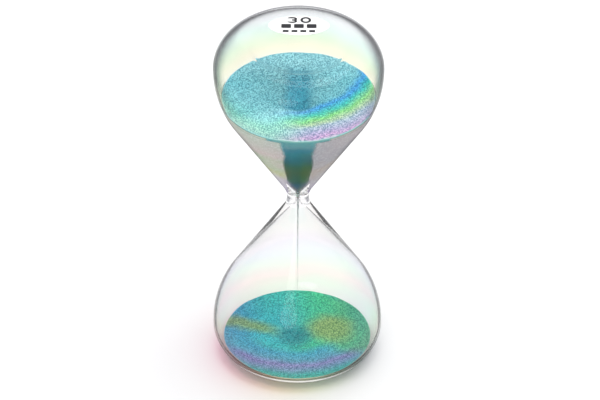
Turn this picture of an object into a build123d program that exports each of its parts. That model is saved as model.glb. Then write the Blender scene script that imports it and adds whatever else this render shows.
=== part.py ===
"""Frameless blown-glass sand timer, in millimetres, standing on the XY plane with its axis on +Z.

Two equal bulbs meet at a heavy-walled throat tube halfway up. Either flat end can be the foot, and the
upper one has the filling hole with its plug and an oval sticker in a shallow recess. The sand is partly
run: a charge in the upper funnel, the falling stream, and a layer on the lower floor.
"""
from build123d import *
import os
from math import acos, cos, degrees, radians, sin, tan

# ---- driving dimensions ----
BULB_DIAMETER = 70.0
HEIGHT = 154.0
NECK_DIAMETER = 9.2
THROAT_BORE = 1.4          # sets the flow of fine sand
WALL = 1.2                 # glass at the widest ring
SAND_GAP = 0.25            # between the sand solids and the glass

# ---- glass, measured from the waist plane halfway up ----
NECK_FILLET = 10.5         # outside curve of the waist
CONE_ANGLE = 32.0          # outside of the funnel, from the axis
CORNER_RADIUS = 14.0       # outside curve past the widest ring
CORNER_TURN = 60.0
TOE_RADIUS = 9.0           # from the corner curve into the flat end
BORE_HALF_LENGTH = 0.8
BORE_FLARE = 4.6           # inside curve of the throat
CAVITY_ANGLE = 34.6        # inside of the funnel, so that the wall thins away from the neck
NECK_HALF_LENGTH = 3.0     # the throat tube's ends, above and below the waist

# ---- flat ends: the whole wall is pushed in a little, inside a ring that the timer stands on ----
FOOT_RING_WIDTH = 1.6
RECESS_DEPTH = 0.5
RECESS_CURVE = 3.0         # both curves of the step from the ring to the pushed-in middle
UPPER_END = {"wall": 1.3, "corner": 13.0}    # the cavity's corner radius follows the outside
LOWER_END = {"wall": 2.6, "corner": 11.5}     # left thick, so that the timer stands firmly

# ---- filling hole, plug and sticker, on the upper end ----
LABEL_OFFSET = 12.4        # from the axis, towards the back
LABEL_WIDTH = 25.0
LABEL_DEPTH = 13.4
LABEL_THICKNESS = 0.2
PRINT_THICKNESS = 0.06
PLUG_DIAMETER = 6.0
PLUG_TAPER = 2.0           # degrees on each side, narrow end in the bulb
PLUG_OVERHANG = 0.6        # length standing into the bulb
PLUG_SUNK = 0.05           # depth of its top under the sticker

# ---- sand ----
UPPER_RIM = 50.0           # rim of the upper charge, above the waist
UPPER_SLOPE_RISE = -1.0    # from the wall to the edge of the crater
CRATER = {"radius": 11.0, "slope": 30.0, "lip": 8.0}
LOWER_RIM = -71.6          # rim of the lower layer, below the waist
LOWER_SLOPE_RISE = 1.2     # a low mound
DIMPLE = {"radius": 4.5, "slope": 18.0, "lip": 5.0}
STREAM_DIAMETER = 0.8
STREAM_TOP = 0.6           # above the waist, inside the bore
STREAM_GAP = 0.15          # to the sand at either end

UP = (0, 1)
INWARDS = (-1, 0)
BULB_RADIUS = BULB_DIAMETER / 2
HALF_HEIGHT = HEIGHT / 2
CORNER_SINE, CORNER_COSINE = sin(radians(CORNER_TURN)), cos(radians(CORNER_TURN))
WIDEST = HALF_HEIGHT - CORNER_RADIUS * CORNER_SINE - TOE_RADIUS * (1 - CORNER_SINE)
FLAT_RADIUS = BULB_RADIUS - CORNER_RADIUS * (1 - CORNER_COSINE) - TOE_RADIUS * CORNER_COSINE
RING_INSIDE = FLAT_RADIUS - FOOT_RING_WIDTH
RECESS_TURN = degrees(acos(1 - RECESS_DEPTH / (2 * RECESS_CURVE)))
RECESS_FLOOR = HALF_HEIGHT - RECESS_DEPTH
CEILING = RECESS_FLOOR - UPPER_END["wall"]


def funnel_wall(start, fillet_radius, angle, widest_radius):
    """Curves from the waist to the widest ring: a flare, a straight cone and a round shoulder."""
    turn = radians(angle)
    rise = WIDEST - start.Y - fillet_radius * sin(turn)
    spread = widest_radius - start.X - fillet_radius * (1 - cos(turn))
    shoulder_radius = (rise * sin(turn) - spread * cos(turn)) / (1 - cos(turn))
    cone_length = (rise - shoulder_radius * sin(turn)) / cos(turn)
    flare = JernArc(start, UP, fillet_radius, -angle)
    cone = Line(flare @ 1, flare @ 1 + (flare % 1) * cone_length)
    shoulder = JernArc(cone @ 1, cone % 1, shoulder_radius, angle)
    return [flare, cone, shoulder]


def rounded_end(start, corner_radius, top):
    """Curves from the widest ring to the axis: a corner, a toe, the foot ring and the pushed-in middle."""
    corner = JernArc(start, UP, corner_radius, CORNER_TURN)
    toe_radius = (top - (corner @ 1).Y) / (1 - CORNER_SINE)
    toe = JernArc(corner @ 1, corner % 1, toe_radius, 90 - CORNER_TURN)
    ring = Line(toe @ 1, (RING_INSIDE, top))
    step_down = JernArc(ring @ 1, INWARDS, RECESS_CURVE, RECESS_TURN)
    step_level = JernArc(step_down @ 1, step_down % 1, RECESS_CURVE, -RECESS_TURN)
    middle = Line(step_level @ 1, (0, (step_level @ 1).Y))
    return [corner, toe, ring, step_down, step_level, middle]


def outside_curve():
    """Outer profile of one bulb, from the waist to the middle of its end."""
    curve = funnel_wall(Vector(NECK_DIAMETER / 2, 0), NECK_FILLET, CONE_ANGLE, BULB_RADIUS)
    return curve + rounded_end(curve[-1] @ 1, CORNER_RADIUS, HALF_HEIGHT)


def cavity_curve(end, gap=0.0):
    """Inner profile of one bulb, from the bore to the middle of the end, moved inwards by gap."""
    bore_radius = THROAT_BORE / 2 - gap
    bore = Line((bore_radius, 0), (bore_radius, BORE_HALF_LENGTH))
    curve = funnel_wall(bore @ 1, BORE_FLARE + gap, CAVITY_ANGLE, BULB_RADIUS - WALL - gap)
    return [bore] + curve + rounded_end(curve[-1] @ 1, end["corner"] - gap, HALF_HEIGHT - end["wall"] - gap)


def face_to_axis(curve):
    """Face between a profile curve and the axis, as (radius, height above the waist)."""
    waist = Line((0, 0), curve[0] @ 0)
    axis = Line(curve[-1] @ 1, (0, 0))
    return make_face([waist, *curve, axis])


def band(low, high):
    """Face over the whole radius between two heights above the waist."""
    return Pos(BULB_RADIUS / 2, (low + high) / 2) * Rectangle(BULB_RADIUS, high - low)


def turned(face):
    """Solid of revolution from a profile face, with the waist at half the timer's height."""
    return Pos(0, 0, HALF_HEIGHT) * revolve(Plane.XZ * face, Axis.Z)


def below_waist(face):
    """The same profile for the lower bulb."""
    return mirror(face, Plane.XZ)


def glass_section(end, low, high):
    """Glass profile of one bulb between two distances from the waist."""
    return (face_to_axis(outside_curve()) - face_to_axis(cavity_curve(end))) & band(low, high)


def lower_bulb():
    return turned(below_waist(glass_section(LOWER_END, NECK_HALF_LENGTH, HALF_HEIGHT)))


def upper_bulb():
    whole = turned(glass_section(UPPER_END, NECK_HALF_LENGTH, HALF_HEIGHT))
    return whole - tapered_peg(RECESS_FLOOR, CEILING)


def neck():
    half = glass_section(UPPER_END, 0, NECK_HALF_LENGTH)
    return turned(half + below_waist(half))


def tapered_peg(top, bottom):
    """Cone frustum of the filling hole's taper, between two heights above the waist."""
    top_radius = PLUG_DIAMETER / 2 - (RECESS_FLOOR - top) * tan(radians(PLUG_TAPER))
    bottom_radius = PLUG_DIAMETER / 2 - (RECESS_FLOOR - bottom) * tan(radians(PLUG_TAPER))
    middle = HALF_HEIGHT + (top + bottom) / 2
    return Pos(0, LABEL_OFFSET, middle) * Cone(bottom_radius, top_radius, top - bottom)


def fill_plug():
    peg = tapered_peg(RECESS_FLOOR - PLUG_SUNK, CEILING - PLUG_OVERHANG)
    return chamfer(peg.edges().sort_by(Axis.Z)[0], PLUG_OVERHANG / 2)


def on_end(sketch, height, thickness):
    """Flat piece centred on the sticker's place, this far above the upper recess floor."""
    place = Pos(0, LABEL_OFFSET, HALF_HEIGHT + RECESS_FLOOR + height)
    return place * extrude(sketch, thickness)


def label():
    return on_end(Ellipse(LABEL_WIDTH / 2, LABEL_DEPTH / 2), 0, LABEL_THICKNESS)


def oval_ring(width, depth, stroke):
    return Ellipse(width / 2, depth / 2) - Ellipse(width / 2 - stroke, depth / 2 - stroke)


def digit_three(width, depth, stroke):
    """Two oval bowls that share their middle stroke and are open on the left."""
    bowl_depth = (depth + stroke) / 2
    shift = (depth - bowl_depth) / 2
    bowls = [Pos(0, side * shift) * oval_ring(width, bowl_depth, stroke) for side in (-1, 1)]
    opening = Pos(-width / 2, 0) * Rectangle(width, depth - 2 * stroke)
    return bowls[0] + bowls[1] - opening


def label_print():
    """Generic marking: a number of minutes, a row of blocks and a row of ticks."""
    three = Pos(-2.8, 3.8) * digit_three(4.2, 4.2, 0.95)
    zero = Pos(2.8, 3.8) * oval_ring(4.4, 4.2, 1.0)
    blocks = [Pos(x, -0.5) * RectangleRounded(4.0, 2.8, 0.5) for x in (-5.2, 0, 5.2)]
    ticks = [Pos(x, -4.1) * Rectangle(2.4, 1.5) for x in (-5.4, -1.8, 1.8, 5.4)]
    marks = [three, zero, *blocks, *ticks]
    return Compound([on_end(mark, LABEL_THICKNESS, PRINT_THICKNESS).solid() for mark in marks])


def sand_bed(rim, slope_rise, radius, slope, lip):
    """Face under a sand surface: a gentle slope from the wall, and a round-lipped pit in the middle."""
    surface = Line((BULB_RADIUS, rim), (radius, rim + slope_rise))
    pit_lip = JernArc(surface @ 1, INWARDS, lip, slope)
    side_length = (radius - 2 * lip * sin(radians(slope))) / cos(radians(slope))
    side = Line(pit_lip @ 1, pit_lip @ 1 + (pit_lip % 1) * side_length)
    pit_floor = JernArc(side @ 1, side % 1, lip, -slope)
    corner = (BULB_RADIUS, -HALF_HEIGHT)
    rest = Polyline(pit_floor @ 1, (0, -HALF_HEIGHT), corner, surface @ 0)
    return make_face([surface, pit_lip, side, pit_floor, *rest.edges()])


def pit_depth(radius, slope, lip):
    turn = radians(slope)
    return 2 * lip * (1 - cos(turn)) + (radius - 2 * lip * sin(turn)) * tan(turn)


def upper_sand():
    cavity = face_to_axis(cavity_curve(UPPER_END, SAND_GAP)) & band(STREAM_TOP + STREAM_GAP, HALF_HEIGHT)
    return turned(cavity & sand_bed(UPPER_RIM, UPPER_SLOPE_RISE, **CRATER))


def lower_sand():
    cavity = below_waist(face_to_axis(cavity_curve(LOWER_END, SAND_GAP)))
    return turned(cavity & sand_bed(LOWER_RIM, LOWER_SLOPE_RISE, **DIMPLE))


def sand_stream():
    landing = LOWER_RIM + LOWER_SLOPE_RISE - pit_depth(**DIMPLE)
    bottom = landing + STREAM_GAP
    column = Cylinder(STREAM_DIAMETER / 2, STREAM_TOP - bottom)
    return Pos(0, 0, HALF_HEIGHT + (STREAM_TOP + bottom) / 2) * column


NODES = [upper_bulb, neck, lower_bulb, fill_plug, label, label_print, upper_sand, sand_stream, lower_sand]

os.makedirs("parts", exist_ok=True)
for make in NODES:
    export_step(make(), f"parts/{make.__name__}.step")
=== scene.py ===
"""Looks of the frameless glass sand timer: glass, coating, sand, sticker, light and camera."""
import math

import bmesh
import bpy
import numpy as np
from mathutils import Matrix, Vector


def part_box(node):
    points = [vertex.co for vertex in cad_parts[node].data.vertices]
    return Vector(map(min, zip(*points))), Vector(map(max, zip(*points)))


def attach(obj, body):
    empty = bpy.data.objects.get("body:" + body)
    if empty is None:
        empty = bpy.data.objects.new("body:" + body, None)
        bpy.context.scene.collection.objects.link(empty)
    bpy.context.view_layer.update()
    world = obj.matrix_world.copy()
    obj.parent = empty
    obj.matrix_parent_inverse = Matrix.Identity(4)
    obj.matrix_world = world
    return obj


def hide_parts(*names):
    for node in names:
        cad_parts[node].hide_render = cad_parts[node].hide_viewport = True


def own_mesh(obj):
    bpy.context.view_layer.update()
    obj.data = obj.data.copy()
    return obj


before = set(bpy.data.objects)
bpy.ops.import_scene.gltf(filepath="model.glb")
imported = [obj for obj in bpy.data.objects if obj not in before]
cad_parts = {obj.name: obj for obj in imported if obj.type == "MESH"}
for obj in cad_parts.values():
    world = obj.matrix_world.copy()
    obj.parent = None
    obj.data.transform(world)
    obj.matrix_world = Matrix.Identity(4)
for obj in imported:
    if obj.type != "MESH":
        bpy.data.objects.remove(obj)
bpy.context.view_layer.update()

MM = 0.001
random = np.random.default_rng(30)

# ---- sizes in millimetres, heights from the waist; the frame gives the main ones, and the rest
# ---- repeat the part's own sizes
top_low, top_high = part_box("upper_bulb")
HEIGHT = top_high.z / MM
HALF_HEIGHT = HEIGHT / 2
BULB_RADIUS = top_high.x / MM
NECK_HALF_LENGTH = top_low.z / MM - HALF_HEIGHT

NECK_RADIUS = 4.6
BORE_RADIUS = 0.7
BORE_HALF_LENGTH = 0.8
WALL = 1.2
THROAT_IOR = 1.5
THIN_GLASS_IOR = 1.03                  # blown walls this thin hardly bend what is seen through them
NECK_FILLET, CONE_ANGLE = 10.5, 32.0
BORE_FLARE, CAVITY_ANGLE = 4.6, 34.6
CORNER_RADIUS, CORNER_TURN, TOE_RADIUS = 14.0, 60.0, 9.0
FOOT_RING_WIDTH, RECESS_DEPTH, RECESS_CURVE = 1.6, 0.5, 3.0
END_WALL = {1: 1.3, -1: 2.6}           # upper end, lower end
CAVITY_CORNER = {1: 13.0, -1: 11.5}
SAND_GAP = 0.25
UPPER_RIM, UPPER_SLOPE_RISE = 50.0, -1.0
LOWER_RIM, LOWER_SLOPE_RISE = -71.6, 1.2
CRATER = {"radius": 11.0, "slope": 30.0, "lip": 8.0}
DIMPLE = {"radius": 4.5, "slope": 18.0, "lip": 5.0}
STREAM_TOP = 0.6
CAMERA_ELEVATION = 36                  # degrees
CAMERA_DISTANCE = 3.19                 # metres
CAMERA_LENS = 464
CAMERA_ROLL = 0.33                     # degrees
AIM_RIGHT, AIM_DOWN = 0.85, 1.9
COLUMN_HALF_WIDTH = 6.0

CORNER_SINE = math.sin(math.radians(CORNER_TURN))
CORNER_COSINE = math.cos(math.radians(CORNER_TURN))
WIDEST = HALF_HEIGHT - CORNER_RADIUS * CORNER_SINE - TOE_RADIUS * (1 - CORNER_SINE)
FLAT_RADIUS = BULB_RADIUS - CORNER_RADIUS * (1 - CORNER_COSINE) - TOE_RADIUS * CORNER_COSINE
RING_INSIDE = FLAT_RADIUS - FOOT_RING_WIDTH
RECESS_TURN = math.degrees(math.acos(1 - RECESS_DEPTH / (2 * RECESS_CURVE)))

GLASS_SEGMENTS = 192
SAND_SEGMENTS = 144
SAND_RINGS = 60
FLAKE_SIZE = 0.36
STREAM_GRAINS = 1500
FLOOR_HALF_WIDTH = 3.0                 # metres
FLOOR_DROP = 0.0002                    # metres


# ---- profiles ----
class Outline:
    """A profile of (radius, height) points, drawn by tangent lines and arcs from a start point."""

    def __init__(self, radius, height, heading):
        self.points = [(radius, height)]
        self.heading = math.radians(heading)

    def line(self, length, pieces=1):
        for _ in range(pieces):
            r, z = self.points[-1]
            step = length / pieces
            self.points.append((r + step * math.cos(self.heading), z + step * math.sin(self.heading)))

    def arc(self, radius, turn, step=2.5):
        """Turns left by turn degrees, or right where it is negative."""
        side = math.copysign(1, turn)
        r, z = self.points[-1]
        centre = (r - side * radius * math.sin(self.heading), z + side * radius * math.cos(self.heading))
        count = max(2, math.ceil(abs(turn) / step))
        start = self.heading
        for i in range(1, count + 1):
            self.heading = start + math.radians(turn) * i / count
            self.points.append((centre[0] + side * radius * math.sin(self.heading),
                                centre[1] - side * radius * math.cos(self.heading)))

    def line_to_axis(self, pieces=1):
        r, z = self.points[-1]
        self.points += [(r * (1 - i / pieces), z) for i in range(1, pieces + 1)]


def funnel_wall(outline, fillet, angle, widest_radius):
    """From the waist to the widest ring: a flare, a straight cone and a round shoulder."""
    turn = math.radians(angle)
    r, z = outline.points[-1]
    rise = WIDEST - z - fillet * math.sin(turn)
    spread = widest_radius - r - fillet * (1 - math.cos(turn))
    shoulder = (rise * math.sin(turn) - spread * math.cos(turn)) / (1 - math.cos(turn))
    cone = (rise - shoulder * math.sin(turn)) / math.cos(turn)
    outline.arc(fillet, -angle)
    outline.line(cone, pieces=12)
    outline.arc(shoulder, angle, step=1.5)


def rounded_end(outline, corner_radius, top):
    """From the widest ring to the axis: a corner, a toe, the foot ring and the pushed-in middle."""
    outline.arc(corner_radius, CORNER_TURN)
    outline.arc((top - outline.points[-1][1]) / (1 - CORNER_SINE), 90 - CORNER_TURN)
    outline.line(outline.points[-1][0] - RING_INSIDE)
    outline.arc(RECESS_CURVE, RECESS_TURN)
    outline.arc(RECESS_CURVE, -RECESS_TURN)
    outline.line_to_axis(pieces=3)


def outside_points():
    outline = Outline(NECK_RADIUS, 0, 90)
    funnel_wall(outline, NECK_FILLET, CONE_ANGLE, BULB_RADIUS)
    rounded_end(outline, CORNER_RADIUS, HALF_HEIGHT)
    return outline.points


def cavity_points(side, gap=0.0):
    outline = Outline(BORE_RADIUS - gap, 0, 90)
    outline.line(BORE_HALF_LENGTH)
    funnel_wall(outline, BORE_FLARE + gap, CAVITY_ANGLE, BULB_RADIUS - WALL - gap)
    rounded_end(outline, CAVITY_CORNER[side] - gap, HALF_HEIGHT - END_WALL[side] - gap)
    return outline.points


def crossing(points, index, height):
    """The profile's point at a height, between the point at index and the one before."""
    (r0, z0), (r1, z1) = points[index - 1], points[index]
    return (r0 + (r1 - r0) * (height - z0) / (z1 - z0), height)


def above(points, height):
    """The part of a rising profile above a height, starting exactly there."""
    first = next(i for i, p in enumerate(points) if p[1] > height + 1e-6)
    return [crossing(points, first, height)] + points[first:]


def below(points, height):
    """The part of a rising profile below a height, ending exactly there."""
    first = next(i for i, p in enumerate(points) if p[1] > height - 1e-6)
    return points[:first] + [crossing(points, first, height)]


def pit_height(r, radius, slope, lip):
    """Height of a round-lipped pit's wall at a distance from the axis, under the surface round it."""
    turn = math.radians(slope)
    lip_width = lip * math.sin(turn)
    lip_drop = lip * (1 - math.cos(turn))
    side_drop = (radius - 2 * lip_width) * math.tan(turn)
    if r > radius:
        return 0.0
    if r > radius - lip_width:
        return -(lip - math.sqrt(lip * lip - (radius - r) ** 2))
    if r > lip_width:
        return -lip_drop - (radius - lip_width - r) * math.tan(turn)
    return -2 * lip_drop - side_drop + (lip - math.sqrt(lip * lip - r * r))


# ---- meshes ----
def new_object(name, mesh):
    piece = bpy.data.objects.new(name, mesh)
    bpy.context.scene.collection.objects.link(piece)
    return piece


def lathe_arrays(rings, segments, looped):
    """Vertices and faces of a profile turned about +Z, in millimetres above the waist."""
    vertices, rows, faces = [], [], []
    angles = [2 * math.pi * i / segments for i in range(segments)]
    for r, z in rings:
        on_axis = r < 1e-6
        rows.append(list(range(len(vertices), len(vertices) + (1 if on_axis else segments))))
        vertices += [(0, 0, z)] if on_axis else [(r * math.cos(a), r * math.sin(a), z) for a in angles]
    for low, high in list(zip(rows, rows[1:])) + ([(rows[-1], rows[0])] if looped else []):
        for i in range(segments):
            j = (i + 1) % segments
            if len(low) == 1 and len(high) == 1:
                break
            if len(low) == 1:
                faces.append((low[0], high[j], high[i]))
            elif len(high) == 1:
                faces.append((low[i], low[j], high[0]))
            else:
                faces.append((low[i], low[j], high[j], high[i]))
    return vertices, faces


def build_piece(name, vertices, faces, sharp_angle=40):
    """Object from vertices in millimetres above the waist, with outward normals and smooth shading."""
    mesh = bpy.data.meshes.new(name)
    mesh.from_pydata([(x * MM, y * MM, (z + HALF_HEIGHT) * MM) for x, y, z in vertices], [], faces)
    tidy = bmesh.new()
    tidy.from_mesh(mesh)
    bmesh.ops.recalc_face_normals(tidy, faces=tidy.faces)
    tidy.to_mesh(mesh)
    tidy.free()
    mesh.shade_smooth()
    mesh.set_sharp_from_angle(angle=math.radians(sharp_angle))
    return new_object(name, mesh)


# ---- node helpers ----
class Shader:
    """A material's node tree, with short calls for the nodes used here."""

    def __init__(self, name):
        self.material = bpy.data.materials.new(name)
        self.material.use_nodes = True
        self.tree = self.material.node_tree
        self.tree.nodes.clear()
        self.output = self.tree.nodes.new("ShaderNodeOutputMaterial")

    def node(self, kind, settings=None, **inputs):
        made = self.tree.nodes.new("ShaderNode" + kind)
        for key, value in (settings or {}).items():
            setattr(made, key, value)
        for key, value in inputs.items():
            self.put(made.inputs[key.replace("_", " ")], value)
        return made

    def put(self, socket, value):
        if isinstance(value, bpy.types.NodeSocket):
            self.tree.links.new(value, socket)
        elif isinstance(value, tuple) and socket.type == "RGBA":
            socket.default_value = (*value, 1)
        else:
            socket.default_value = value

    def math(self, operation, a, b=0.0):
        made = self.node("Math", {"operation": operation})
        self.put(made.inputs[0], a)
        self.put(made.inputs[1], b)
        return made.outputs[0]

    def vector(self, operation, a, b):
        made = self.node("VectorMath", {"operation": operation})
        self.put(made.inputs[0], a)
        self.put(made.inputs[1], b)
        return made.outputs["Value" if operation in ("DISTANCE", "LENGTH") else "Vector"]

    def place(self):
        """Object coordinates in millimetres, with the height measured from the waist."""
        scaled = self.vector("MULTIPLY", self.node("TexCoord").outputs["Object"], (1 / MM,) * 3)
        return self.vector("SUBTRACT", scaled, (0, 0, HALF_HEIGHT))

    def axes(self, vector):
        return self.node("SeparateXYZ", Vector=vector).outputs

    def noise(self, vector, scale, detail=2.0):
        return self.node("TexNoise", Vector=vector, Scale=scale, Detail=detail).outputs["Fac"]

    def rise(self, value, low, high):
        """0 where the value is under low, 1 over high, smooth between; high may be the smaller."""
        flip = high < low
        made = self.node("MapRange", {"interpolation_type": "SMOOTHSTEP"}, Value=value)
        made.inputs["From Min"].default_value = min(low, high)
        made.inputs["From Max"].default_value = max(low, high)
        made.inputs["To Min"].default_value = 1.0 if flip else 0.0
        made.inputs["To Max"].default_value = 0.0 if flip else 1.0
        return made.outputs[0]

    def ramp(self, value, stops):
        """Colours at given values of the input, in order."""
        low, high = stops[0][0], stops[-1][0]
        made = self.node("ValToRGB")
        elements = made.color_ramp.elements
        while len(elements) < len(stops):
            elements.new(0.5)
        for element, (position, colour) in zip(elements, stops):
            element.position = (position - low) / (high - low)
            element.color = (*colour, 1)
        scaled = self.node("MapRange", Value=value)
        scaled.inputs["From Min"].default_value = low
        scaled.inputs["From Max"].default_value = high
        self.put(made.inputs[0], scaled.outputs[0])
        return made.outputs["Color"]

    def mix(self, factor, a, b, blend="MIX"):
        made = self.node("Mix", {"data_type": "RGBA", "blend_type": blend})
        for socket, value in ((made.inputs[0], factor), (made.inputs[6], a), (made.inputs[7], b)):
            self.put(socket, value)
        return made.outputs[2]

    def blend(self, factor, a, b):
        made = self.node("MixShader")
        for socket, value in zip(made.inputs, (factor, a, b)):
            self.put(socket, value)
        return made.outputs[0]

    def surface(self, shader):
        self.put(self.output.inputs["Surface"], shader)
        return self.material


# ---- glass ----
FILM_BANDS_AND_PAINTED_GREY = {
    "upper_bulb": [(10, (0.97, 0.95, 0.95)), (28, (0.97, 0.97, 0.93)), (44, (0.99, 0.97, 0.90)),
                   (51, (1.0, 0.97, 0.76)), (56, (0.86, 1.0, 0.76)), (62, (0.84, 1.0, 0.92)),
                   # from 68 to 77 the upper bulb's greys are painted dark reflection on its shoulder and end
                   (68, (0.93, 0.94, 0.95)), (75, (0.88, 0.88, 0.89)), (76.4, (0.95, 0.95, 0.95)),
                   (77, (0.97, 0.97, 0.97))],
    "lower_bulb": [(5, (0.98, 0.97, 0.97)), (32, (0.99, 0.99, 0.98)), (45, (0.95, 0.93, 1.0)),
                   (52, (0.91, 0.96, 1.0)), (58, (0.91, 1.0, 0.93)), (64, (1.0, 0.93, 0.90)),
                   (70, (0.88, 1.0, 0.90)), (77, (0.98, 0.98, 0.98))],
    "neck": [(0, (0.97, 0.97, 0.97)), (3, (0.98, 0.97, 0.97))],
}


def film_and_painted_grey(s, place, node):
    """The coating's pastel bands, which follow the height and wander round the bulb; the upper bulb's greys
    near its end are painted dark reflection.
    """
    x, _, z = s.axes(place)
    wander = s.math("MULTIPLY", s.math("SUBTRACT", s.noise(place, 0.03), 0.5), 14.0)
    tilt = s.math("MULTIPLY", x, 0.06)
    height = s.math("ADD", s.math("ABSOLUTE", z), s.math("ADD", wander, tilt))
    return s.ramp(height, FILM_BANDS_AND_PAINTED_GREY[node])


def pastel_shadow(s, place):
    """Tint of the light that passes through the coated glass, weaker through the upper bulb."""
    x, _, z = s.axes(place)
    sides = s.ramp(x, [(-34, (0.92, 0.66, 0.76)), (-8, (0.97, 0.86, 0.70)), (10, (0.90, 0.91, 0.78)),
                       (34, (0.64, 0.64, 0.67))])
    return s.mix(s.rise(z, -60, -10), sides, (0.995, 0.995, 0.995))


def column_edge(height):
    """How far the glass at a height turns from the viewer where the visible column of sand ends."""
    points = outside_points()
    index = next(i for i, p in enumerate(points) if p[1] > height)
    (r0, z0), (r1, z1) = points[index - 1], points[index]
    length = math.hypot(r1 - r0, z1 - z0)
    outward = math.sqrt(1 - (COLUMN_HALF_WIDTH / r1) ** 2) * (z1 - z0) / length
    downward = (r1 - r0) / length
    tilt = math.radians(CAMERA_ELEVATION)
    tilt -= height * MM * math.cos(tilt) / CAMERA_DISTANCE
    return 1 - (outward * math.cos(tilt) - downward * math.sin(tilt))


def painted_reflection_mask(s, place, edge):
    """Where the funnel's glass is seen at a low angle: painted reflection, standing for glass that reflects
    all round, which hides the sand.
    """
    z = s.axes(place)[2]
    low_stops = [(3, (0.70,) * 3), (5, (0.76,) * 3), (9, (0.72,) * 3), (18, (0.658,) * 3),
                 (32, (0.644,) * 3)]
    limit = s.ramp(z, low_stops + [(height, (column_edge(height),) * 3) for height in range(38, 51)])
    past = s.math("SUBTRACT", edge, s.axes(limit)[0])
    return s.math("MULTIPLY", s.rise(past, -0.003, 0.008), s.rise(z, 49.4, 48.6))


def painted_reflection_colour(s, place):
    """Colour of the funnel's painted reflection: pastel bands of the coating, warmer on the left."""
    x, _, z = s.axes(place)
    height = s.math("ADD", z, s.math("MULTIPLY", s.math("SUBTRACT", s.noise(place, 0.07), 0.5), 26.0))
    left = s.ramp(height, [(4, (0.50, 0.46, 0.60)), (13, (0.55, 0.51, 0.54)), (20, (0.55, 0.58, 0.32)),
                           (28, (0.50, 0.58, 0.42)), (36, (0.62, 0.53, 0.51)), (48, (0.55, 0.60, 0.52))])
    right = s.ramp(height, [(4, (0.44, 0.40, 0.52)), (14, (0.44, 0.41, 0.44)), (22, (0.48, 0.42, 0.38)),
                            (32, (0.41, 0.40, 0.43)), (48, (0.50, 0.46, 0.48))])
    speckle = s.math("MULTIPLY", s.rise(s.noise(place, 1.6), 0.50, 0.62), 0.30)
    hue = s.mix(1.0, s.mix(s.rise(x, 4, -8), right, left), (0.82, 0.82, 0.82), "MULTIPLY")
    return s.mix(speckle, hue, (0.80, 0.80, 0.82))


def painted_dark_outline(s, edge):
    """Painted dark outline of the funnel's sides and of the base, where the glass turns from the viewer."""
    # painted dark reflection at grazing angles
    return s.ramp(edge, [(0, (1, 1, 1)), (0.80, (1, 1, 1)), (0.90, (0.66, 0.66, 0.67)),
                         (1, (0.06, 0.06, 0.07))])


def painted_dark_edges(s, place, edge, node):
    """Painted dark reflection that deepens as the glass turns from the viewer, with each piece's own painted
    dark places.
    """
    grey = s.ramp(edge, [(0, (1, 1, 1)), (0.35, (0.99, 0.99, 0.99)), (0.50, (0.965, 0.965, 0.965)),
                         (0.65, (0.93, 0.93, 0.93)), (0.80, (0.80, 0.80, 0.81)), (0.91, (0.42, 0.42, 0.44)),
                         (1, (0.04, 0.04, 0.05))])
    across, _, height = s.axes(place)
    if node == "neck":
        # painted dark spots at the middle of the neck, where the glass turns from the viewer
        painted_neck_dark = s.ramp(edge, [(0, (1, 1, 1)), (0.36, (0.85, 0.85, 0.86)), (0.50, (0.10, 0.10, 0.12)),
                             (1, (0.01, 0.01, 0.01))])
        return s.mix(s.rise(s.math("ABSOLUTE", height), 2.4, 1.2), grey, painted_neck_dark)
    from_axis = s.vector("LENGTH", s.vector("MULTIPLY", place, (1, 1, 0)), (0, 0, 0))
    # painted dark reflection on the upper bulb's outer shoulder
    outside = s.math("MULTIPLY", s.rise(height, 52, 66), s.rise(from_axis, 24, 27))
    shoulder = s.math("MULTIPLY", outside, s.rise(edge, 0.40, 0.78))
    grey = s.mix(shoulder, grey, s.mix(1.0, grey, (0.36, 0.36, 0.38), "MULTIPLY"))
    # painted dark blue-grey streak on the upper bulb's right-hand wall
    band = s.math("MULTIPLY", s.rise(height, 22, 34), s.rise(height, 66, 52))
    side = s.math("MULTIPLY", s.rise(across, 22, 29), band)
    painted_dark_streak = s.math("MULTIPLY", side, s.rise(edge, 0.55, 0.82))
    return s.mix(painted_dark_streak, grey, s.mix(1.0, grey, (0.34, 0.42, 0.54), "MULTIPLY"))


def add_painted_reflection(s, place, edge, body):
    """The upper bulb's glass with the funnel's painted reflection over it."""
    colour = s.mix(1.0, painted_reflection_colour(s, place), painted_dark_outline(s, edge), "MULTIPLY")
    # painted reflection: a pale diffuse layer stands for the funnel's glass reflecting its surroundings
    painted_reflection_layer = s.node("BsdfDiffuse", Color=colour)
    return s.blend(s.math("MULTIPLY", painted_reflection_mask(s, place, edge), 0.9), body, painted_reflection_layer.outputs[0])


def add_painted_base_light(s, place, edge, body):
    """The lower bulb's glass with its thick base painted pale as lit, whitest in a curved painted highlight
    on the near side.
    """
    x, y, z = s.axes(place)
    # painted highlight: a white strip on the near side of the base
    painted_base_highlight = s.math("MULTIPLY", s.rise(s.math("ABSOLUTE", x), 12, 8), s.rise(z, -73.5, -72.5))
    pale = s.mix(painted_base_highlight, (0.80, 0.80, 0.80), (1.0, 1.0, 1.0))
    base = s.node("BsdfDiffuse", Color=s.mix(1.0, pale, painted_dark_outline(s, edge), "MULTIPLY"))
    from_axis = s.vector("LENGTH", s.vector("MULTIPLY", place, (1, 1, 0)), (0, 0, 0))
    # painted light on the low outer glass of the base, on the near side
    low_outer = s.math("MULTIPLY", s.rise(z, -70.6, -71.8), s.rise(from_axis, 26, 28))
    near = s.math("MULTIPLY", s.rise(y, -6, -16), 0.92)
    return s.blend(s.math("MULTIPLY", low_outer, near), body, base.outputs[0])


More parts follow.
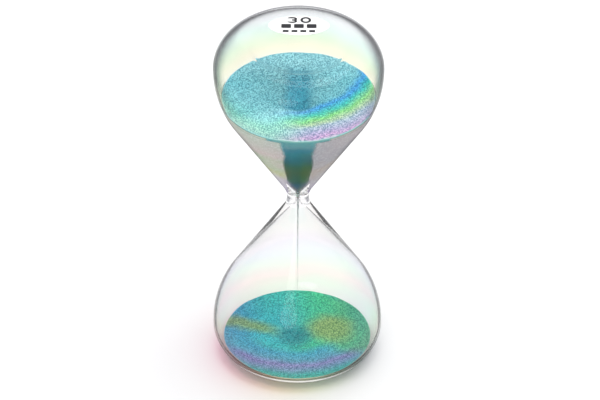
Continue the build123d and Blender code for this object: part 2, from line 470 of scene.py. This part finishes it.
def glass_material(node):
    s = Shader(node + "_glass")
    place = s.place()
    edge = s.node("LayerWeight", Blend=0.5).outputs["Facing"]
    # the tint carries painted dark reflection at the glass's edges
    tint = s.mix(1.0, film_and_painted_grey(s, place, node), painted_dark_edges(s, place, edge, node), "MULTIPLY")
    index = THROAT_IOR if node == "neck" else THIN_GLASS_IOR
    glass = s.node("BsdfPrincipled", Base_Color=tint, Roughness=0.0, IOR=index)
    glass.inputs["Transmission Weight"].default_value = 1.0
    glass.inputs["Coat Weight"].default_value = 0.3
    glass.inputs["Coat Roughness"].default_value = 0.02
    body = glass.outputs[0]
    # painted reflection over the upper funnel, painted light on the lower bulb's base
    if node == "upper_bulb":
        body = add_painted_reflection(s, place, edge, body)
    if node == "lower_bulb":
        body = add_painted_base_light(s, place, edge, body)
    clear = s.node("BsdfTransparent", Color=pastel_shadow(s, place))
    path = s.node("LightPath")
    soft = s.math("MAXIMUM", path.outputs["Is Shadow Ray"], path.outputs["Is Diffuse Ray"])
    return s.surface(s.blend(soft, body, clear.outputs[0]))


def seam_material():
    """Lets light straight through where two pieces of glass are fused, as inside one piece."""
    s = Shader("fused_seam")
    return s.surface(s.node("BsdfTransparent", Color=(1, 1, 1)).outputs[0])


def bulb_rings(side):
    outer = above(outside_points(), NECK_HALF_LENGTH)
    inner = above(cavity_points(side), NECK_HALF_LENGTH)
    return [(r, side * z) for r, z in outer + inner[::-1]]


def neck_rings():
    outer = below(outside_points(), NECK_HALF_LENGTH)
    inner = below(cavity_points(1), NECK_HALF_LENGTH)
    mirrored = [[(r, -z) for r, z in half[:0:-1]] + half for half in (outer, inner)]
    return mirrored[0] + mirrored[1][::-1]


def cut_filling_hole(bulb):
    """Takes the tapered filling hole out of the upper bulb's flat end, as wide as its plug."""
    low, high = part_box("fill_plug")
    radius = (high.x - low.x) / 2
    centre = Vector(((low.x + high.x) / 2, (low.y + high.y) / 2, high.z))
    mesh = bpy.data.meshes.new("hole")
    cutter = bmesh.new()
    bmesh.ops.create_cone(cutter, cap_ends=True, segments=64, radius1=radius * 0.96, radius2=radius * 1.04,
                          depth=0.008, matrix=Matrix.Translation(centre))
    cutter.to_mesh(mesh)
    cutter.free()
    hole = new_object("hole", mesh)
    cut = bulb.modifiers.new("hole", "BOOLEAN")
    cut.operation = "DIFFERENCE"
    cut.object = hole
    shape = bpy.data.meshes.new_from_object(bulb.evaluated_get(bpy.context.evaluated_depsgraph_get()))
    bulb.modifiers.clear()
    bulb.data = shape
    bpy.data.objects.remove(hole)


def add_glass():
    slots = {"upper_bulb": "upper_glass", "lower_bulb": "lower_glass", "neck": "neck_glass"}
    rings = {"upper_bulb": bulb_rings(1), "lower_bulb": bulb_rings(-1), "neck": neck_rings()}
    seam = seam_material()
    for node, slot in slots.items():
        piece = build_piece(node + "_glass", *lathe_arrays(rings[node], GLASS_SEGMENTS, looped=True))
        if node == "upper_bulb":
            cut_filling_hole(piece)
        piece.data.materials.append(glass_material(node))
        piece.data.materials.append(seam)
        for face in piece.data.polygons:
            heights = [abs(piece.data.vertices[v].co.z / MM - HALF_HEIGHT) for v in face.vertices]
            face.material_index = int(max(abs(h - NECK_HALF_LENGTH) for h in heights) < 1e-3)
        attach(piece, "glass")
        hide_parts(node)


# ---- sand ----
def upper_colour(s, place):
    """Teal, lighter at the back; painted shade down the crater's middle, painted light and sheen on the near
    half, and a painted reflection of the coating's rainbow across the near right-hand half.
    """
    x, y, _ = s.axes(place)
    flat = s.vector("MULTIPLY", place, (1, 1, 0))
    wander = s.math("MULTIPLY", s.math("SUBTRACT", s.noise(place, 0.12), 0.5), 4.0)
    teal = s.mix(s.noise(place, 0.07), (0.17, 0.62, 0.68), (0.38, 0.76, 0.76))
    teal = s.mix(s.math("MULTIPLY", s.rise(y, 10, 28), 0.35), teal, (0.62, 0.90, 0.92))
    # painted shade: a dark band down the middle of the crater, towards the back
    off_middle = s.math("ABSOLUTE", s.math("ADD", x, wander))
    middle = s.math("MULTIPLY", s.rise(off_middle, 8.0, 2.0), s.rise(y, -15, -6))
    middle = s.math("MULTIPLY", middle, s.rise(y, 26, 12))
    teal = s.mix(s.math("MULTIPLY", middle, 0.80), teal, (0.02, 0.42, 0.56))
    # painted light and sheen: the near half of the sand made paler
    bend = s.math("ADD", s.math("MULTIPLY", s.math("MULTIPLY", x, x), 0.012), wander)
    near = s.rise(s.math("ADD", y, bend), -4, -12)
    pale = s.mix(s.math("MULTIPLY", near, 0.70), teal, (0.62, 0.96, 0.98))
    # painted reflection of the glass coating's rainbow, laid into the sand's colour
    distance = s.math("ADD", s.vector("DISTANCE", flat, (-8, 25, 0)), wander)
    bands = s.ramp(distance, [
        (32, (0.10, 0.52, 0.70)), (36, (0.08, 0.46, 0.90)), (39.5, (0.06, 0.72, 0.56)),
        (43, (0.42, 0.86, 0.26)), (46, (0.78, 0.76, 0.52)), (48.5, (0.74, 0.66, 0.95)),
        (52, (0.74, 0.52, 1.0)), (55.5, (0.92, 0.46, 1.0)), (59, (0.50, 0.90, 0.96))])
    rainbow_reflection_strength = s.math("MULTIPLY", s.rise(x, -14, 7), s.rise(distance, 32, 36))
    return s.mix(s.math("MULTIPLY", rainbow_reflection_strength, 0.95), pale, bands)


def lower_colour(s, place):
    """Cyan and green at the back, a golden patch, painted shade in the dimple, and a painted reflection of
    the coating's blue and violet in the near half.
    """
    x, y, _ = s.axes(place)
    flat = s.vector("MULTIPLY", place, (1, 1, 0))
    wander = s.math("MULTIPLY", s.math("SUBTRACT", s.noise(place, 0.12), 0.5), 5.0)
    colour = s.mix(s.rise(s.math("ADD", x, wander), -8, 10), (0.08, 0.90, 0.90), (0.12, 0.98, 0.56))
    # painted reflection of the coating's blue and violet bands on the near half
    distance = s.math("ADD", s.vector("DISTANCE", flat, (-1, 10, 0)), s.math("MULTIPLY", wander, 0.6))
    front = s.ramp(distance, [
        (21, (0.10, 0.66, 0.70)), (24, (0.12, 0.74, 0.90)), (26, (0.14, 0.68, 1.0)),
        (29.5, (0.26, 0.68, 1.0)), (32.5, (0.52, 0.46, 1.0)), (35.5, (0.38, 0.62, 1.0)),
        (38.5, (0.12, 0.76, 0.84)), (42, (0.14, 0.80, 0.72))])
    colour = s.mix(s.rise(distance, 20, 25), colour, front)
    far_left = s.math("MULTIPLY", s.rise(x, -12, -24), s.rise(y, -16, -6))
    colour = s.mix(s.math("MULTIPLY", far_left, 0.8), colour, (0.10, 0.74, 0.96))
    across = s.math("ADD", s.math("MULTIPLY", x, 0.386), s.math("MULTIPLY", y, 0.924))
    off_line = s.math("ABSOLUTE", s.math("ADD", s.math("ADD", across, 2.6), wander))
    olive = s.math("MULTIPLY", s.rise(x, -2, -16), s.rise(off_line, 6.0, 0.5))
    colour = s.mix(s.math("MULTIPLY", olive, 0.9), colour, (0.46, 0.76, 0.26))
    right = s.math("MULTIPLY", s.rise(x, 9, 20), s.rise(y, -16, -8))
    colour = s.mix(s.math("MULTIPLY", right, 0.85), colour, (0.22, 0.94, 0.46))
    gold = s.rise(s.math("ADD", s.vector("DISTANCE", flat, (14, 3, 0)), wander), 14, 4)
    colour = s.mix(s.math("MULTIPLY", gold, 0.9), colour, (0.62, 0.80, 0.26))
    # painted shade in the dimple
    dark = s.rise(s.vector("DISTANCE", flat, (-1, -3, 0)), 10, 3)
    return s.mix(s.math("MULTIPLY", dark, 0.75), colour, (0.03, 0.40, 0.46))


def shaded_packed_colour(s, place):
    """Sand against the funnel's glass, with painted shade: dark, and darker and greener downwards."""
    z = s.math("ABSOLUTE", s.axes(place)[2])
    # painted shade of the sand under the charge, lighter teal up at the rim
    return s.ramp(z, [(0, (0.30, 0.23, 0.20)), (5, (0.16, 0.13, 0.15)), (8.5, (0.03, 0.06, 0.16)),
                      (13, (0.02, 0.10, 0.05)), (21, (0.07, 0.085, 0.02)), (27, (0.035, 0.10, 0.05)),
                      (33, (0.02, 0.13, 0.18)), (44, (0.03, 0.24, 0.32)), (48.5, (0.06, 0.34, 0.42)),
                      (49.6, (0.36, 0.72, 0.80)), (60, (0.36, 0.72, 0.80))])


def sand_material(name, colour_of_top):
    """Coarse glitter sand: each grain has its own brightness, and some grains on show are painted near-white
    as glints.
    """
    s = Shader(name)
    place = s.place()
    cells = s.node("TexVoronoi", {"feature": "F1"}, Vector=place, Scale=1.35)
    flake = s.node("NewGeometry").outputs["Random Per Island"]
    loose = s.node("Attribute", {"attribute_name": "loose"}).outputs["Fac"]
    chance = s.node("Mix", {"data_type": "FLOAT"})
    for socket, value in zip(chance.inputs, (loose, s.axes(cells.outputs["Color"])[0], flake)):
        s.put(socket, value)
    chance = chance.outputs[0]
    on_top = s.node("Attribute", {"attribute_name": "on_top"}).outputs["Fac"]
    base = s.mix(on_top, shaded_packed_colour(s, place), colour_of_top(s, place))
    shade = s.ramp(chance, [(0, (0.28, 0.46, 0.54)), (0.25, (0.66, 0.78, 0.82)), (0.45, (1.2, 1.12, 1.08)),
                            (0.72, (2.1, 1.32, 1.24)), (1.0, (3.6, 1.5, 1.35))])
    colour = s.mix(1.0, base, shade, "MULTIPLY")
    # painted glints: near-white grains on the top and near the rim
    shown = s.math("MAXIMUM", on_top, s.rise(s.axes(place)[2], 44.5, 46))
    painted_glint = s.math("MULTIPLY", s.rise(chance, 0.78, 0.84), shown)
    colour = s.mix(s.math("MULTIPLY", painted_glint, 0.7), colour, (0.90, 1.0, 1.0))
    bump = s.node("Bump", Strength=0.25, Distance=0.0002, Height=cells.outputs["Distance"])
    grain = s.node("BsdfPrincipled", Base_Color=colour, Roughness=0.38, Normal=bump.outputs[0])
    return s.surface(grain.outputs[0])


def ripple(x, y, waves):
    """Small unevenness of a sand surface, from a few sine waves."""
    return sum(size * math.sin(kx * x + ky * y + phase) for size, kx, ky, phase in waves)


def gully(x, y):
    """The run of sand from the back of the upper charge into its crater."""
    return -0.9 * math.exp(-(x / 4.5) ** 2) / (1 + math.exp(-(y - 4) / 2.0))


def surface_height(side, x, y, waves):
    r = math.hypot(x, y)
    if side > 0:
        pit, rim, slope_rise = CRATER, UPPER_RIM, UPPER_SLOPE_RISE
    else:
        pit, rim, slope_rise = DIMPLE, LOWER_RIM, LOWER_SLOPE_RISE
    height = rim + slope_rise * (BULB_RADIUS - max(r, pit["radius"])) / (BULB_RADIUS - pit["radius"])
    height += pit_height(r, **pit)
    if side > 0:
        height += gully(x, y) * min(1, max(0, 30 - r) / 6)
    return height + ripple(x, y, waves)


def rim_radius(side):
    """Where the sand's surface meets its gap to the glass."""
    inner = cavity_points(side, SAND_GAP)
    rim = abs(UPPER_RIM if side > 0 else LOWER_RIM)
    level = [p for p in inner if p[1] >= rim][0] if side > 0 else [p for p in inner if p[1] <= rim][-1]
    return level[0]


def add_flakes(vertices, faces, side, radius, waves, count, size):
    """Loose flakes of glitter on the sand, each a low pyramid lying nearly flat."""
    corners = np.array([(math.cos(a), math.sin(a), 0) for a in (0.0, 2.1, 4.2)] + [(0, 0, 0.45)])
    for _ in range(count):
        r = (radius - size) * math.sqrt(random.random())
        angle = 2 * math.pi * random.random()
        x, y = r * math.cos(angle), r * math.sin(angle)
        lean = Matrix.Rotation(random.uniform(-0.5, 0.5), 3, "X")
        tilt = lean @ Matrix.Rotation(random.uniform(0, 6.3), 3, "Z")
        middle = np.array((x, y, surface_height(side, x, y, waves) + 0.02))
        start = len(vertices)
        scale = size * random.uniform(0.6, 1.0)
        vertices += [tuple(middle + np.array(tilt) @ corner * scale) for corner in corners]
        faces += [(start, start + 1, start + 2), (start, start + 1, start + 3),
                  (start + 1, start + 2, start + 3), (start + 2, start, start + 3)]


def sand_charge(node, side, flakes):
    waves = [(0.06, *random.normal(0, 0.35, 2), random.uniform(0, 6)) for _ in range(5)]
    radius = rim_radius(side)
    rim = UPPER_RIM if side > 0 else LOWER_RIM
    if side > 0:
        under = [(r, z) for r, z in above(cavity_points(1, SAND_GAP), STREAM_TOP + 0.15) if z < rim]
    else:
        under = [(r, -z) for r, z in cavity_points(-1, SAND_GAP)[::-1] if z > -rim]
    under = [(0.0, under[0][1])] + under if under[0][0] > 1e-6 else under
    rings = under + [(radius * (1 - i / SAND_RINGS), rim) for i in range(SAND_RINGS + 1)]
    vertices, faces = lathe_arrays(rings, SAND_SEGMENTS, looped=False)
    first_top = 1 + SAND_SEGMENTS * (len(under) - 1)
    for i in range(first_top, len(vertices)):
        x, y, _ = vertices[i]
        vertices[i] = (x, y, surface_height(side, x, y, waves))
    solid_faces = len(faces)
    add_flakes(vertices, faces, side, radius, waves, flakes, FLAKE_SIZE)
    piece = build_piece(node + "_grains", vertices, faces, sharp_angle=60)
    on_top = piece.data.attributes.new("on_top", "FLOAT", "FACE")
    loose = piece.data.attributes.new("loose", "FLOAT", "FACE")
    for i, face in enumerate(piece.data.polygons):
        is_top = i >= solid_faces or all(v >= first_top for v in face.vertices)
        on_top.data[i].value = 1.0 if is_top else 0.0
        loose.data[i].value = 1.0 if i >= solid_faces else 0.0
    return piece


def add_sand():
    charges = (("upper_sand", 1, upper_colour, 14000), ("lower_sand", -1, lower_colour, 13000))
    for node, side, colour, flakes in charges:
        piece = sand_charge(node, side, flakes)
        piece.data.materials.append(sand_material(node, colour))
        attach(piece, "upper_charge" if side > 0 else "lower_layer")
        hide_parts(node)


def add_stream():
    """Falling grains, close together under the throat and further apart as they speed up."""
    low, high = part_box("sand_stream")
    bottom, top = low.z / MM - HALF_HEIGHT, high.z / MM - HALF_HEIGHT
    corners = np.array([(1, 0, 0), (-1, 0, 0), (0, 1, 0), (0, -1, 0), (0, 0, 1), (0, 0, -1)])
    quads = [(0, 2, 4), (2, 1, 4), (1, 3, 4), (3, 0, 4), (2, 0, 5), (1, 2, 5), (3, 1, 5), (0, 3, 5)]
    vertices, faces = [], []
    for _ in range(STREAM_GRAINS):
        fall = random.random() ** 2.4
        spread = 0.10 + 0.14 * fall
        size = 0.13 * (1 - 0.75 * fall)
        across = np.clip(random.normal(0, spread, 2), -0.27, 0.27)
        middle = np.array((*across, top - 0.2 - (top - bottom - 0.4) * fall))
        start = len(vertices)
        vertices += [tuple(middle + corner * size) for corner in corners]
        faces += [tuple(start + k for k in quad) for quad in quads]
    piece = build_piece("falling_grains", vertices, faces)
    s = Shader("falling_sand")
    flake = s.node("NewGeometry").outputs["Random Per Island"]
    colour = s.ramp(flake, [(0, (0.10, 0.13, 0.14)), (0.6, (0.24, 0.29, 0.30)), (1, (0.6, 0.7, 0.7))])
    grain = s.node("BsdfPrincipled", Base_Color=colour, Roughness=0.45)
    piece.data.materials.append(s.surface(grain.outputs[0]))
    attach(piece, "glass")
    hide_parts("sand_stream")
    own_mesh(piece)


# ---- sticker and plug: CAD nodes with better materials ----
def label_material():
    s = Shader("sticker_film")
    place = s.place()
    fibre = s.noise(place, 2.5, detail=4.0)
    colour = s.mix(fibre, (0.90, 0.90, 0.89), (0.97, 0.97, 0.96))
    bump = s.node("Bump", Strength=0.15, Distance=0.0001, Height=fibre)
    film = s.node("BsdfPrincipled", Base_Color=colour, Roughness=0.32, Normal=bump.outputs[0])
    return s.surface(film.outputs[0])


def ink_material():
    s = Shader("sticker_ink")
    grain = s.noise(s.place(), 6.0, detail=3.0)
    colour = s.mix(grain, (0.008, 0.008, 0.010), (0.035, 0.035, 0.040))
    return s.surface(s.node("BsdfPrincipled", Base_Color=colour, Roughness=0.5).outputs[0])


def plug_material():
    s = Shader("silicone")
    cloud = s.noise(s.place(), 0.8, detail=3.0)
    colour = s.mix(cloud, (0.80, 0.82, 0.82), (0.88, 0.89, 0.88))
    return s.surface(s.node("BsdfPrincipled", Base_Color=colour, Roughness=0.45).outputs[0])


def dress_cad_nodes():
    finishes = {"label": label_material(), "label_print": ink_material(), "fill_plug": plug_material()}
    for node, material in finishes.items():
        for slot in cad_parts[node].material_slots:
            slot.material = material


# ---- camera ----
def add_camera():
    elevation = math.radians(CAMERA_ELEVATION)
    waist = Vector((0, 0, HALF_HEIGHT * MM))
    back = Vector((0, -math.cos(elevation), math.sin(elevation)))
    camera = new_object("camera", bpy.data.cameras.new("camera"))
    camera.data.lens = CAMERA_LENS
    camera.data.sensor_width = 36
    camera.data.clip_start, camera.data.clip_end = 0.1, 60
    facing = (-back).to_track_quat("-Z", "Y")
    right, up = facing @ Vector((1, 0, 0)), facing @ Vector((0, 1, 0))
    aim = waist + right * (AIM_RIGHT * MM) - up * (AIM_DOWN * MM)
    camera.location = aim + back * CAMERA_DISTANCE
    camera.rotation_mode = "QUATERNION"
    roll = Matrix.Rotation(math.radians(CAMERA_ROLL), 4, "Z").to_quaternion()
    camera.rotation_quaternion = facing @ roll
    bpy.context.scene.camera = camera


# ---- surroundings ----
def add_light(name, place, size, power):
    light = bpy.data.lights.new(name, "AREA")
    light.shape = "DISK"
    light.size = size
    light.energy = power
    lamp = new_object(name, light)
    lamp.location = place
    target = Vector((0, 0.03, 0.05))
    lamp.rotation_mode = "QUATERNION"
    lamp.visible_glossy = False
    lamp.rotation_quaternion = (target - Vector(place)).to_track_quat("-Z", "Y")


def add_surroundings():
    bpy.context.scene.view_settings.view_transform = "Standard"
    world = bpy.data.worlds.new("studio")
    world.use_nodes = True
    background = world.node_tree.nodes["Background"]
    background.inputs["Color"].default_value = (0.97, 0.98, 1.0, 1)
    background.inputs["Strength"].default_value = 0.60
    bpy.context.scene.world = world
    mesh = bpy.data.meshes.new("floor")
    signs = ((-1, -1), (1, -1), (1, 1), (-1, 1))
    mesh.from_pydata([(x * FLOOR_HALF_WIDTH, y * FLOOR_HALF_WIDTH, 0) for x, y in signs], [], [(0, 1, 2, 3)])
    floor = new_object("floor", mesh)
    floor.location.z = -FLOOR_DROP
    s = Shader("floor_white")
    paper = s.mix(s.noise(s.place(), 0.02), (0.92, 0.92, 0.92), (0.94, 0.94, 0.94))
    card = s.node("BsdfPrincipled", Base_Color=paper, Roughness=0.9)
    floor.data.materials.append(s.surface(card.outputs[0]))
    add_light("overhead", (0.15, 0.15, 1.1), size=1.0, power=9.5)
    add_light("front_fill", (-0.25, -1.0, 0.45), size=0.5, power=2.5)


add_camera()
add_surroundings()
add_glass()
add_sand()
add_stream()
dress_cad_nodes()
